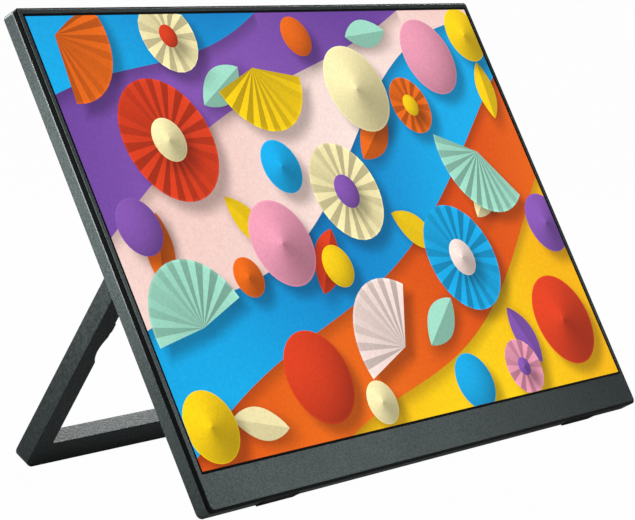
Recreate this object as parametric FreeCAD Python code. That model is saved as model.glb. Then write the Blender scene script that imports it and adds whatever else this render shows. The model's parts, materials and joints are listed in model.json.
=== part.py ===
# Slim portable monitor that leans back on a U-shaped stand hinged to its back.
#
# The pieces are modelled upright: x runs across the screen, y runs from the front face towards the back,
# and z runs up from the bottom edge. The whole object then leans back until feet and stand meet the floor.
import FreeCAD
import Part
import math
import os

# Screen and body
screen_width = 344.6
screen_height = 215.4
side_border = 4.2
chin_border = 18.3
body_thickness = 9.2
body_corner = 1.8
chin_corner = 3.0
cover_wall = 1.2
cover_plate = 1.6
cover_back_edge = 0.8
cover_front_edge = 0.25
band_depth = 2.3
fit_gap = 0.1

# How far a cutting block runs past the face it cuts
overrun = 1.0

# Front bezel and the rim of the middle frame round it
bezel_thickness = 1.0
bezel_edge = 0.4
black_line = 1.3
rim_width = 0.8
chin_rim = 1.3
rim_setback = 0.3
rim_edge = 0.35
skirt_wall = 0.6
skirt_depth = 2.2
skirt_gap = 0.15

# Screen stack, front to back
screen_setback = 0.25
glass_lip = 0.8
glass_ledge = 4.0
glass_thickness = 1.2
glass_gap = 0.3
diffuser_thickness = 0.5
guide_thickness = 1.5
reflector_thickness = 0.2
sheet_margin = 1.0
tray_wall = 0.4
tray_gap = 0.2
led_height = 1.4
led_gap = 0.2
rib_wall = 1.2
rib_edge_margin = 27.3
rib_count = 6

# Boards and flat cables
board_thickness = 1.2
board_standoff = 1.6
board_margin = 1.1
board_screw_inset = 12.0
standoff_radius = 2.6
driver_board_side_gap = 22.6
driver_board_thickness = 0.8
foil_width = 24.0
foil_thickness = 0.1
foil_spacing = 52.0
cable_width = 14.0
cable_thickness = 0.3
cable_tail = 4.0
cable_slack = 5.0
button_board_width = 26.0
button_cable_width = 8.0
wire_radius = 0.6
wire_gap = 1.0

# Sockets on the left side of the housing
socket_depth = 7.5
socket_setback = 0.6
socket_shell = 0.3
socket_pitch = 14.0
socket_gap = 0.25
usb_width = 8.94
usb_height = 3.26
round_end_share = 0.49
hdmi_width = 11.2
hdmi_height = 3.2
hdmi_corner = 0.6
tongue_thickness = 0.7
tongue_setback = 0.9
chip_width = 14.0
chip_height = 1.2
sink_width = 24.0
sink_fin = 1.2
sink_fin_count = 6
sink_base = 1.0
sink_gap = 0.8

# Controls and headphone jack on the right side of the housing
control_pitch = 16.0
button_length = 10.0
button_width = 4.0
button_proud = 1.0
button_gap = 0.25
button_edge = 0.4
button_corner = 1.3
button_flange = 0.8
button_flange_depth = 1.5
button_travel = 0.5
switch_width = 6.0
switch_depth = 4.0
wheel_radius = 5.5
wheel_thickness = 2.4
wheel_proud = 1.2
wheel_groove = 0.3
wheel_teeth = 24
wheel_gap = 0.4
post_radius = 1.2
post_gap = 0.05
wheel_base_width = 7.6
wheel_base_depth = 0.4
jack_width = 6.0
jack_height = 4.4
jack_length = 13.0
jack_bore_radius = 1.8
jack_bore_depth = 12.0

# Electronics housing on the back
housing_wall = 1.5
housing_rise = 72.0
housing_corner = 6.0
housing_edge = 1.2
housing_gap = 1.5
insert_spacing = 75.0
insert_radius = 2.8
insert_bore_radius = 1.65
insert_length = 7.0
insert_boss_radius = 4.5
column_radius = 3.6
column_inset = 9.0
column_floor = 1.6
speaker_length = 40.0
speaker_height = 14.0
speaker_depth = 6.6
speaker_side_gap = 20.5
speaker_corner = 1.5
speaker_dish_radius = 5.5
speaker_dish_floor = 1.8
speaker_dish_depth = 2.2
grille_slot_width = 1.2
grille_slot_length = 9.0
grille_pitch = 3.4
grille_count = 9
vent_slot_width = 1.5
vent_slot_length = 4.5
vent_pitch = 5.0
vent_count = 13

# Stand and hinge
hinge_height = 127.2
stand_open_angle = 61.3
stand_inset = 30.7
stand_thickness = 9.3
stand_clearance = 0.5
stand_tip_margin = 0.8
stand_edge = 0.5
leg_width = 11.8
bar_height = 12.5
bar_outer_corner = 5.0
bar_inner_corner = 1.8
scoop_low = 65.2
scoop_deepest = 57.8
scoop_high = 47.3
scoop_depth = 2.8
scoop_start_slope = 0.55
scoop_lip_slope = 0.85
lug_high = 43.0
lug_height = 1.2
strip_inset = 0.6
strip_width = 3.0
strip_seat = 1.0
strip_proud = 0.6
barrel_wall = 1.05
barrel_gap = 0.35
barrel_length = 18.0
barrel_side_gap = 0.5
pin_running_gap = 0.05
pin_seat_gap = 0.02
pin_seat_depth = 9.0
washer_thickness = 0.6
washer_gap = 0.05
washer_rim = 0.9
nut_thickness = 2.4
bracket_thickness = 1.2
bracket_half_height = 10.0
bracket_web = 3.0
slot_gap = 0.4

# Rubber feet under the bottom edge
foot_length = 26.0
foot_depth = 5.0
foot_height = 0.7
foot_front = 3.0
foot_inset = 50.9

# Screws, each a flat head on a plain shank
screw_radius = 0.9
screw_hole_gap = 0.2
thread_gap = 0.02
screw_head_radius = 1.9
screw_head_height = 0.8
screw_head_gap = 0.3
screw_recess = 0.9
screw_slot = 0.4
screw_slot_length = 2.3
screw_slot_depth = 0.4
boss_radius = 2.4
boss_gap = 0.2
screw_tip_gap = 0.2
outer_screw_inset = 12.0
inner_screw_inset = 76.5
hinge_screw_spacing = 14.0

# Places worked out from the sizes above
half_width = screen_width / 2 + side_border
body_height = screen_height + side_border + chin_border
half_picture = screen_width / 2
foot_offset = half_width - foot_inset
inner_screw_place = half_width - inner_screw_inset
outer_screw_place = half_width - outer_screw_inset
driver_board_half = inner_screw_place - boss_radius - driver_board_side_gap
picture_top = chin_border + screen_height
glass_back = bezel_thickness + glass_thickness
diffuser_back = glass_back + diffuser_thickness
guide_back = diffuser_back + guide_thickness
reflector_back = guide_back + reflector_thickness
tray_back = reflector_back + tray_wall
cover_inner = body_thickness - cover_plate
glass_margin = black_line + glass_lip
glass_bottom = chin_border - glass_ledge
led_top = chin_border - sheet_margin - led_gap
led_bottom = led_top - led_height
tray_margin = sheet_margin + tray_gap + tray_wall
tray_bottom = led_bottom - tray_gap - tray_wall
frame_window_bottom = glass_bottom - glass_gap

hinge_depth = body_thickness + stand_clearance + stand_thickness / 2
housing_back = body_thickness + stand_clearance + stand_thickness
housing_inner = housing_back - housing_wall
stand_half_width = half_width - stand_inset
stand_inner = stand_half_width - leg_width
stand_front = hinge_depth - stand_thickness / 2
stand_tip = stand_tip_margin
housing_half = stand_inner - housing_gap
housing_half_inner = housing_half - housing_wall
housing_bottom = stand_tip + bar_height + housing_gap
housing_top = hinge_height + housing_rise
insert_centre = (housing_bottom + housing_top) / 2

board_front = body_thickness + board_standoff
board_back = board_front + board_thickness
board_bottom = hinge_height + bracket_half_height + board_margin + boss_radius
board_top = housing_top - housing_wall - board_margin - boss_radius / 2
board_centre = (board_bottom + board_top) / 2
board_edge = housing_half_inner - board_margin
main_board_inner = insert_spacing / 2 + insert_boss_radius + board_margin
rib_pitch = (screen_width - 2 * rib_edge_margin) / (rib_count - 1)
cable_offset = rib_pitch
button_board_inner = board_edge - button_board_width

barrel_radius = stand_thickness / 2 - housing_wall - barrel_gap
pin_radius = barrel_radius - barrel_wall - pin_running_gap
barrel_outer = housing_half_inner - barrel_side_gap
barrel_inner = barrel_outer - barrel_length
washer_inner = barrel_inner - washer_gap - washer_thickness
nut_inner = washer_inner - washer_gap - nut_thickness
pin_end = nut_inner - washer_thickness
wire_offset = pin_end - wire_gap - wire_radius

power_height = board_centre + control_pitch
wheel_height = board_centre
jack_height_place = board_centre - control_pitch
control_depth = board_back + wheel_base_depth + post_gap + wheel_thickness / 2
button_depth = board_back + switch_depth / 2
jack_axis = board_back + jack_height / 2
wheel_axis = housing_half + wheel_proud - wheel_radius
button_back = housing_half_inner - button_gap - button_flange_depth

speaker_bottom = housing_bottom + housing_wall + board_margin
speaker_offset = housing_half_inner - speaker_side_gap - speaker_length / 2
usb_corner = usb_height * round_end_share
socket_list = [(usb_width, usb_height, usb_corner, board_centre + socket_pitch),
               (usb_width, usb_height, usb_corner, board_centre),
               (hdmi_width, hdmi_height, hdmi_corner, board_centre - socket_pitch)]

boss_front = tray_back + boss_gap
screw_tip = boss_front + screw_tip_gap
chin_boss_height = (cover_wall + skirt_gap + skirt_wall + frame_window_bottom) / 2


# Building blocks

def rounded_box(x, y, z, corner=0.0, along="y"):
    """Box between pairs of low and high values, with its four edges along one axis rounded."""
    size = [high - low for low, high in (x, y, z)]
    solid = Part.makeBox(*size, FreeCAD.Vector(x[0], y[0], z[0]))
    if corner > 0:
        edges = [e for e in solid.Edges if abs(getattr(e.tangentAt(e.FirstParameter), along)) > 0.99]
        solid = solid.makeFillet(corner, edges)
    return solid


def outline_box(inset, y, more_at_bottom=0.0):
    """Box with the body's outline, drawn in by an inset that its corners follow, and more at the bottom."""
    low = inset + more_at_bottom
    high = body_height - inset
    solid = rounded_box((inset - half_width, half_width - inset), y, (low, high))
    for height, corner in ((low, chin_corner - inset), (high, body_corner - inset)):
        if corner > 0:
            solid = solid.makeFillet(corner, depth_edges(solid, height))
    return solid


def picture_box(margin, bottom, y):
    """Box round the picture with one margin at the sides and top, and its own bottom edge."""
    return rounded_box((-half_picture - margin, half_picture + margin), y, (bottom, picture_top + margin))


def rod_x(x, y, z, radius):
    """Round bar along x."""
    return Part.makeCylinder(radius, x[1] - x[0], FreeCAD.Vector(x[0], y, z), FreeCAD.Vector(1, 0, 0))


def rod_y(x, y, z, radius):
    """Round bar along y."""
    return Part.makeCylinder(radius, y[1] - y[0], FreeCAD.Vector(x, y[0], z), FreeCAD.Vector(0, 1, 0))


def edges_in_plane(solid, axis, value):
    """Edges whose ends all lie in the plane where one coordinate has a given value."""
    return [e for e in solid.Edges if all(abs(getattr(v.Point, axis) - value) < 1e-6 for v in e.Vertexes)]


def depth_edges(solid, height):
    """Edges of a block that run along y at one height."""
    return [e for e in edges_in_plane(solid, "z", height) if abs(e.tangentAt(e.FirstParameter).y) > 0.99]


def strip_along_x(x, points):
    """Flat strip whose outline in y and z is a closed list of points, carried along x."""
    corners = [FreeCAD.Vector(x[0], y, z) for y, z in points]
    face = Part.Face(Part.makePolygon(corners + corners[:1]))
    return face.extrude(FreeCAD.Vector(x[1] - x[0], 0, 0))


def mirrored(shape):
    """The same shape on the other side of the middle plane."""
    return shape.mirror(FreeCAD.Vector(0, 0, 0), FreeCAD.Vector(1, 0, 0))


def joined(first, *others):
    """One solid made of pieces that touch or overlap."""
    return first.fuse(list(others)).removeSplitter()


def screw(x, z, seat, tip):
    """Screw driven from the back: its head stands on the seat and its shank reaches forward to the tip."""
    head = rod_y(x, (seat, seat + screw_head_height), z, screw_head_radius)
    shank = rod_y(x, (tip, seat), z, screw_radius)
    reach = screw_slot_length / 2
    slot_depth = (seat + screw_head_height - screw_slot_depth, seat + screw_head_height)
    across = rounded_box((x - reach, x + reach), slot_depth, (z - screw_slot / 2, z + screw_slot / 2))
    upright = rounded_box((x - screw_slot / 2, x + screw_slot / 2), slot_depth, (z - reach, z + reach))
    return joined(head, shank).cut([across, upright])


def screw_group(places, seat, tip):
    """Identical screws as one group of separate solids."""
    return Part.makeCompound([screw(x, z, seat, tip) for x, z in places])


# Where the screws go

frame_screw_places = [(side * offset, chin_boss_height)
                      for side in (-1, 1)
                      for offset in (inner_screw_place, outer_screw_place)]
column_places = [(housing_half - column_inset, housing_bottom + column_inset),
                 (housing_half - column_inset, hinge_height - bracket_half_height - column_inset),
                 (insert_spacing / 2, housing_top - column_inset)]
housing_screw_places = [(side * x, z) for side in (-1, 1) for x, z in column_places]
hinge_screw_places = [(side * (barrel_outer + barrel_inner) / 2, hinge_height + up * hinge_screw_spacing / 2)
                      for side in (-1, 1)
                      for up in (-1, 1)]
standoff_inset = standoff_radius + board_margin
board_screw_heights = (board_bottom + standoff_inset, board_top - standoff_inset)
cable_window_bottom = board_screw_heights[0] + standoff_inset
main_screw_places = [(x, z)
                     for x in (-board_edge + board_screw_inset, -main_board_inner - board_screw_inset)
                     for z in board_screw_heights]
button_screw_places = [(button_board_inner + standoff_inset, z) for z in board_screw_heights]
insert_places = [(side * insert_spacing / 2, insert_centre + up * insert_spacing / 2)
                 for side in (-1, 1)
                 for up in (-1, 1)]


# Casing

def make_front_bezel():
    plate = outline_box(rim_width, (0, bezel_thickness), chin_rim - rim_width)
    plate = plate.makeFillet(bezel_edge, edges_in_plane(plate, "y", 0))
    opening = picture_box(black_line, chin_border - black_line, (-overrun, bezel_thickness + overrun))
    return plate.cut(opening)


def make_middle_frame():
    band = outline_box(0, (rim_setback, band_depth))
    band = band.makeFillet(rim_edge, edges_in_plane(band, "y", rim_setback))
    seat_inset = rim_width - fit_gap
    seat = outline_box(seat_inset, (rim_setback - overrun, bezel_thickness), chin_rim - rim_width)
    window = picture_box(glass_margin + glass_gap, frame_window_bottom, (-overrun, band_depth + overrun))
    skirt_inset = cover_wall + skirt_gap
    skirt_span = (band_depth, band_depth + skirt_depth)
    skirt = outline_box(skirt_inset, skirt_span).cut(outline_box(skirt_inset + skirt_wall, skirt_span))
    bosses = [rod_y(x, (band_depth, cover_inner), z, boss_radius) for x, z in frame_screw_places]
    holes = [rod_y(x, (band_depth, cover_inner), z, screw_radius + thread_gap) for x, z in frame_screw_places]
    return joined(band.cut([seat, window]), skirt, *bosses).cut(holes)


def make_back_cover():
    shell = outline_box(0, (band_depth, body_thickness))
    shell = shell.makeFillet(cover_back_edge, edges_in_plane(shell, "y", body_thickness))
    shell = shell.makeChamfer(cover_front_edge, edges_in_plane(shell, "y", band_depth))
    shell = shell.cut(outline_box(cover_wall, (band_depth - overrun, cover_inner)))
    first_rib = -rib_pitch * (rib_count - 1) / 2
    rib_bottom = chin_border
    rib_top = picture_top - tray_margin
    ribs = [rounded_box((x - rib_wall / 2, x + rib_wall / 2), (tray_back, cover_inner), (rib_bottom, rib_top))
            for x in (first_rib + i * rib_pitch for i in range(rib_count))]
    boss_places = housing_screw_places + hinge_screw_places
    bosses = [rod_y(x, (boss_front, cover_inner), z, boss_radius) for x, z in boss_places]
    standoff_places = main_screw_places + button_screw_places
    standoffs = [rod_y(x, (body_thickness, board_front), z, standoff_radius) for x, z in standoff_places]
    shell = joined(shell, *ribs, *bosses, *standoffs)
    thread = screw_radius + thread_gap
    holes = [rod_y(x, (screw_tip, body_thickness), z, thread) for x, z in boss_places]
    holes += [rod_y(x, (body_thickness, board_front), z, thread) for x, z in standoff_places]
    recess_radius = screw_head_radius + screw_head_gap
    for x, z in frame_screw_places:
        holes.append(rod_y(x, (cover_inner, body_thickness), z, screw_radius + screw_hole_gap))
        holes.append(rod_y(x, (body_thickness - screw_recess, body_thickness), z, recess_radius))
    window_half = cable_width / 2 + cable_slack
    cable_window = rounded_box((-cable_offset - window_half, -cable_offset + window_half),
                               (cover_inner, body_thickness), (cable_window_bottom, board_centre),
                               standoff_radius)
    return shell.cut(holes + [cable_window])


def make_foot():
    half = foot_length / 2
    return rounded_box((-half, half), (foot_front, foot_front + foot_depth), (-foot_height, 0))


# Screen

def make_lcd_panel():
    """Glass whose picture area comes forward through the bezel, nearly flush with its face."""
    plate = picture_box(glass_margin, glass_bottom, (bezel_thickness, glass_back))
    face = picture_box(black_line - fit_gap, chin_border - black_line + fit_gap,
                       (screen_setback, bezel_thickness))
    return joined(plate, face)


def make_backlight_tray():
    tray = picture_box(tray_margin, tray_bottom, (glass_back + tray_gap, tray_back))
    hollow = picture_box(tray_margin - tray_wall, tray_bottom + tray_wall, (glass_back, reflector_back))
    return tray.cut(hollow)


def make_sheet(front, back):
    """One sheet of the backlight stack."""
    return picture_box(sheet_margin, chin_border - sheet_margin, (front, back))


def make_led_strip():
    return rounded_box((-half_picture, half_picture), (diffuser_back, guide_back), (led_bottom, led_top))


def make_driver_board():
    low = cover_wall + skirt_gap + skirt_wall + board_margin
    high = frame_window_bottom - board_margin / 2
    return rounded_box((-driver_board_half, driver_board_half),
                       (band_depth, band_depth + driver_board_thickness), (low, high))


def make_panel_foils():
    """Foils that leave the back of the glass below the tray and lie on the back of the driver board."""
    foils = []
    board_face = band_depth + driver_board_thickness
    low = glass_bottom - foil_thickness
    high = tray_bottom - foil_thickness
    points = [(glass_back, high),
              (glass_back, low),
              (board_face, low),
              (board_face, chin_boss_height),
              (board_face + foil_thickness, chin_boss_height),
              (board_face + foil_thickness, glass_bottom),
              (glass_back + foil_thickness, glass_bottom),
              (glass_back + foil_thickness, high)]
    for middle in (-foil_spacing / 2, foil_spacing / 2):
        foils.append(strip_along_x((middle - foil_width / 2, middle + foil_width / 2), points))
    return Part.makeCompound(foils)


def make_panel_cable():
    """Flat cable from the driver board up behind the tray, and back through the cover to the main board."""
    board_face = band_depth + driver_board_thickness
    run = (tray_back + cover_inner) / 2
    bend_low = chin_boss_height + cable_thickness
    bend_high = cable_window_bottom + cable_slack
    tail_low = chin_boss_height - cable_tail
    tail_high = bend_high + cable_tail
    points = [(board_face, tail_low),
              (board_face, bend_low),
              (run - cable_thickness, bend_low),
              (run - cable_thickness, bend_high),
              (board_front - cable_thickness, bend_high),
              (board_front - cable_thickness, tail_high),
              (board_front, tail_high),
              (board_front, bend_high - cable_thickness),
              (run, bend_high - cable_thickness),
              (run, chin_boss_height),
              (board_face + cable_thickness, chin_boss_height),
              (board_face + cable_thickness, tail_low)]
    return strip_along_x((-cable_offset - cable_width / 2, -cable_offset + cable_width / 2), points)


# Boards, sockets and controls

def make_board(x, screw_places):
    """Circuit board on the standoffs of the back cover, with a hole for each of its screws."""
    y = (board_front, board_back)
    holes = [rod_y(px, y, pz, screw_radius + screw_hole_gap) for px, pz in screw_places]
    return rounded_box(x, y, (board_bottom, board_top)).cut(holes)


def make_button_cable():
    middle = board_centre + control_pitch / 2
    return rounded_box((-main_board_inner - cable_tail, button_board_inner + cable_tail),
                       (board_back, board_back + cable_thickness),
                       (middle - button_cable_width / 2, middle + button_cable_width / 2))


def socket_spans(width, height, middle, grow):
    """Ranges in y and z of a socket that stands on the main board."""
    return ((board_back - grow, board_back + height + grow),
            (middle - width / 2 - grow, middle + width / 2 + grow))


def make_socket(width, height, corner, middle):
    """Socket on the main board's left edge: a shell open to the left, with a tongue inside."""
    mouth = -housing_half + socket_setback
    y, z = socket_spans(width, height, middle, 0)
    shell = rounded_box((mouth, mouth + socket_depth), y, z, corner, "x")
    y, z = socket_spans(width, height, middle, -socket_shell)
    hollow_end = mouth + socket_depth - 2 * socket_shell
    hollow = rounded_box((mouth - overrun, hollow_end), y, z, corner - socket_shell, "x")
    half = tongue_thickness / 2
    axis = board_back + height / 2
    tongue_half_width = width / 2 - height / 2 + socket_shell
    tongue = rounded_box((mouth + tongue_setback, mouth + socket_depth), (axis - half, axis + half),
                         (middle - tongue_half_width, middle + tongue_half_width))
    return joined(shell.cut(hollow), tongue)


def make_heat_sink():
    low = board_back + chip_height
    high = housing_inner - sink_gap
    x = -(board_edge + main_board_inner) / 2
    z = board_centre
    half = sink_width / 2
    base = rounded_box((x - half, x + half), (low, low + sink_base), (z - half, z + half))
    pitch = (sink_width - sink_fin) / (sink_fin_count - 1)
    starts = [x - half + i * pitch for i in range(sink_fin_count)]
    fins = [rounded_box((start, start + sink_fin), (low, high), (z - half, z + half)) for start in starts]
    return joined(base, *fins)


def make_scaler_chip():
    x = -(board_edge + main_board_inner) / 2
    half = chip_width / 2
    return rounded_box((x - half, x + half), (board_back, board_back + chip_height),
                       (board_centre - half, board_centre + half))


def make_power_button():
    """Push button whose cap comes out through the housing's right wall and whose flange stays inside."""
    half_width_y = button_width / 2
    half_length_z = button_length / 2
    face = housing_half + button_proud
    cap = rounded_box((button_back, face), (button_depth - half_width_y, button_depth + half_width_y),
                      (power_height - half_length_z, power_height + half_length_z), button_corner, "x")
    cap = cap.makeFillet(button_edge, edges_in_plane(cap, "x", face))
    flange_half = half_length_z + button_flange
    flange = rounded_box((button_back, button_back + button_flange_depth),
                         (board_back + button_gap, button_depth + half_width_y + button_flange),
                         (power_height - flange_half, power_height + flange_half))
    return joined(cap, flange)


def make_power_switch():
    front = button_back - button_travel - fit_gap
    return rounded_box((front - switch_width, front), (board_back, board_back + switch_depth),
                       (power_height - switch_width / 2, power_height + switch_width / 2))


def make_menu_wheel():
    """Thumb wheel with a grooved rim that turns on a fixed post."""
    front = control_depth - wheel_thickness / 2
    corners = []
    for i in range(2 * wheel_teeth):
        radius = wheel_radius if i % 2 == 0 else wheel_radius - wheel_groove
        angle = math.pi * i / wheel_teeth
        corners.append(FreeCAD.Vector(wheel_axis + radius * math.cos(angle), front,
                                      wheel_height + radius * math.sin(angle)))
    face = Part.Face(Part.makePolygon(corners + corners[:1]))
    disc = face.extrude(FreeCAD.Vector(0, wheel_thickness, 0))
    span = (control_depth - wheel_thickness, control_depth + wheel_thickness)
    return disc.cut(rod_y(wheel_axis, span, wheel_height, post_radius + post_gap))


def make_wheel_switch():
    half = wheel_base_width / 2
    base = rounded_box((wheel_axis - half, board_edge), (board_back, board_back + wheel_base_depth),
                       (wheel_height - half, wheel_height + half))
    post_end = control_depth + wheel_thickness / 2 + wheel_base_depth
    post = rod_y(wheel_axis, (board_back, post_end), wheel_height, post_radius)
    return joined(base, post)


def make_headphone_jack():
    mouth = housing_half - socket_setback
    body_front = housing_half_inner - button_gap
    body = rounded_box((mouth - jack_length, body_front), (board_back, board_back + jack_height),
                       (jack_height_place - jack_width / 2, jack_height_place + jack_width / 2))
    nose = rod_x((body_front, mouth), jack_axis, jack_height_place, jack_height / 2)
    bore = rod_x((mouth - jack_bore_depth, mouth), jack_axis, jack_height_place, jack_bore_radius)
    return joined(body, nose).cut(bore)


# Electronics housing

def make_housing():
    x = (-housing_half, housing_half)
    z = (housing_bottom, housing_top)
    shell = rounded_box(x, (body_thickness, housing_back), z, housing_corner)
    shell = shell.makeFillet(housing_edge, edges_in_plane(shell, "y", housing_back))
    hollow = rounded_box((-housing_half_inner, housing_half_inner), (body_thickness - overrun, housing_inner),
                         (housing_bottom + housing_wall, housing_top - housing_wall),
                         housing_corner - housing_wall)
    column_span = (body_thickness, housing_inner)
    columns = [rod_y(px, column_span, pz, column_radius) for px, pz in housing_screw_places]
    boss_end = housing_back - insert_length - housing_wall
    bosses = [rod_y(px, (boss_end, housing_inner), pz, insert_boss_radius) for px, pz in insert_places]
    shell = joined(shell.cut(hollow), *columns, *bosses)
    cuts = []
    floor = body_thickness + column_floor
    for px, pz in housing_screw_places:
        cuts.append(rod_y(px, (body_thickness, floor), pz, screw_radius + screw_hole_gap))
        cuts.append(rod_y(px, (floor, housing_back), pz, screw_head_radius + screw_head_gap))
    for px, pz in insert_places:
        cuts.append(rod_y(px, (housing_back - insert_length, housing_back), pz, insert_radius + thread_gap))
    return shell.cut(cuts + socket_holes() + control_holes() + hinge_slots() + grille_slots() + vent_slots())


def socket_holes():
    """Holes in the left wall, one round each socket."""
    wall = (-housing_half - overrun, -housing_half_inner + overrun)
    holes = []
    for width, height, corner, middle in socket_list:
        y, z = socket_spans(width, height, middle, socket_gap)
        holes.append(rounded_box(wall, y, z, corner + socket_gap, "x"))
    return holes


def control_holes():
    """Holes in the right wall for the power button, the menu wheel and the headphone jack."""
    wall = (housing_half_inner - overrun, housing_half + overrun)
    button_half = (button_width / 2 + button_gap, button_length / 2 + button_gap)
    button_hole = rounded_box(wall, (button_depth - button_half[0], button_depth + button_half[0]),
                              (power_height - button_half[1], power_height + button_half[1]),
                              button_corner + button_gap, "x")
    reach = housing_half_inner - wheel_axis
    wheel_half = math.sqrt(wheel_radius ** 2 - reach ** 2) + wheel_gap
    wheel_side = wheel_thickness / 2 + wheel_gap
    wheel_hole = rounded_box(wall, (control_depth - wheel_side, control_depth + wheel_side),
                             (wheel_height - wheel_half, wheel_height + wheel_half))
    jack_hole = rod_x(wall, jack_axis, jack_height_place, jack_height / 2 + button_gap)
    return [button_hole, wheel_hole, jack_hole]


def hinge_slots():
    """Slots in both side walls, open towards the cover, that the hinge pins pass through."""
    half = pin_radius + slot_gap
    wall = (housing_half_inner - overrun, housing_half + overrun)
    straight = rounded_box(wall, (body_thickness - overrun, hinge_depth),
                           (hinge_height - half, hinge_height + half))
    slot = joined(straight, rod_x(wall, hinge_depth, hinge_height, half))
    return [slot, mirrored(slot)]


def grille_slots():
    """Rows of slots in the back wall over the two speakers."""
    slots = []
    middle = speaker_bottom + speaker_height / 2
    z = (middle - grille_slot_length / 2, middle + grille_slot_length / 2)
    for side in (-1, 1):
        for i in range(grille_count):
            x = side * speaker_offset + (i - (grille_count - 1) / 2) * grille_pitch
            slots.append(rounded_box((x - grille_slot_width / 2, x + grille_slot_width / 2),
                                     (housing_inner, housing_back + overrun), z,
                                     grille_slot_width * round_end_share))
    return slots


def vent_slots():
    """Row of slots in the top wall that lets warm air out."""
    middle = (board_back + housing_inner) / 2
    slots = []
    for i in range(vent_count):
        x = (i - (vent_count - 1) / 2) * vent_pitch
        slots.append(rounded_box((x - vent_slot_width / 2, x + vent_slot_width / 2),
                                 (middle - vent_slot_length / 2, middle + vent_slot_length / 2),
                                 (housing_top - housing_wall - overrun, housing_top + overrun)))
    return slots


def make_speaker():
    """Flat speaker with a dished cone that faces the grille in the back wall."""
    half = speaker_length / 2
    box = rounded_box((speaker_offset - half, speaker_offset + half),
                      (housing_inner - speaker_depth, housing_inner),
                      (speaker_bottom, speaker_bottom + speaker_height), speaker_corner)
    middle = FreeCAD.Vector(speaker_offset, housing_inner, speaker_bottom + speaker_height / 2)
    dish = Part.makeCone(speaker_dish_radius, speaker_dish_floor, speaker_dish_depth, middle,
                         FreeCAD.Vector(0, -1, 0))
    return box.cut(dish)


def make_speaker_wire():
    start = speaker_bottom + speaker_height
    middle = (board_front + board_back) / 2
    return Part.makeCylinder(wire_radius, board_bottom - start, FreeCAD.Vector(wire_offset, middle, start))


def make_inserts():
    inserts = []
    for x, z in insert_places:
        span = (housing_back - insert_length, housing_back)
        inserts.append(rod_y(x, span, z, insert_radius).cut(rod_y(x, span, z, insert_bore_radius)))
    return Part.makeCompound(inserts)


# Hinge and stand, drawn with the stand folded flat against the back

def make_hinge_bracket():
    x = (barrel_inner, barrel_outer)
    base = rounded_box(x, (body_thickness, body_thickness + bracket_thickness),
                       (hinge_height - bracket_half_height, hinge_height + bracket_half_height), boss_radius)
    web = rounded_box(x, (body_thickness, hinge_depth),
                      (hinge_height - bracket_web / 2, hinge_height + bracket_web / 2))
    barrel = rod_x(x, hinge_depth, hinge_height, barrel_radius)
    middle = (barrel_outer + barrel_inner) / 2
    cuts = [rod_x(x, hinge_depth, hinge_height, pin_radius + pin_running_gap)]
    for up in (-1, 1):
        cuts.append(rod_y(middle, (body_thickness, body_thickness + bracket_thickness),
                          hinge_height + up * hinge_screw_spacing / 2, screw_radius + screw_hole_gap))
    return joined(base, web, barrel).cut(cuts)


def make_hinge_pin():
    return rod_x((pin_end, stand_inner + pin_seat_depth), hinge_depth, hinge_height, pin_radius)


def make_friction_washer():
    span = (washer_inner, washer_inner + washer_thickness)
    ring = rod_x(span, hinge_depth, hinge_height, pin_radius + washer_rim)
    return ring.cut(rod_x(span, hinge_depth, hinge_height, pin_radius + pin_seat_gap))


def make_hinge_nut():
    corner_radius = pin_radius + washer_rim
    corners = []
    for i in range(6):
        angle = math.pi * i / 3
        corners.append(FreeCAD.Vector(nut_inner, hinge_depth + corner_radius * math.sin(angle),
                                      hinge_height + corner_radius * math.cos(angle)))
    face = Part.Face(Part.makePolygon(corners + corners[:1]))
    nut = face.extrude(FreeCAD.Vector(nut_thickness, 0, 0))
    span = (nut_inner, nut_inner + nut_thickness)
    return nut.cut(rod_x(span, hinge_depth, hinge_height, pin_radius + pin_seat_gap))


def scoop_point(into_leg, below_hinge):
    """Place on the inner edge of the right leg, in front of its face."""
    return FreeCAD.Vector(stand_inner + into_leg, stand_front - overrun, hinge_height - below_hinge)


def scoop_curve(first, last, first_slope, last_slope):
    """Smooth curve between two pairs of depth and distance below the hinge, with a slope at each end."""
    reach = (last[1] - first[1]) / 3
    bend = Part.BezierCurve()
    bend.setPoles([scoop_point(*first),
                   scoop_point(first[0] + first_slope * reach, first[1] + reach),
                   scoop_point(last[0] - last_slope * reach, last[1] - reach),
                   scoop_point(*last)])
    return bend.toShape()


def make_scoop():
    """Finger scoop in a leg's inner edge: it eases in from the lug and comes out steeply at its lower lip."""
    crest = (-lug_height, scoop_high)
    floor = (scoop_depth, scoop_deepest)
    lip = (0, scoop_low)
    edges = [scoop_curve(crest, floor, scoop_start_slope, 0), scoop_curve(floor, lip, 0, -scoop_lip_slope)]
    outside = [scoop_point(*lip), scoop_point(-lug_height - overrun, scoop_low),
               scoop_point(-lug_height - overrun, scoop_high), scoop_point(*crest)]
    face = Part.Face(Part.Wire(edges + Part.makePolygon(outside).Edges))
    return face.extrude(FreeCAD.Vector(0, stand_thickness + 2 * overrun, 0))


def make_lug():
    """Small lug on a leg's inner edge, from which the scoop starts."""
    return rounded_box((stand_inner - lug_height, stand_inner + lug_height),
                       (stand_front + stand_edge, stand_front + stand_thickness - stand_edge),
                       (hinge_height - scoop_deepest, hinge_height - lug_high))


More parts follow.
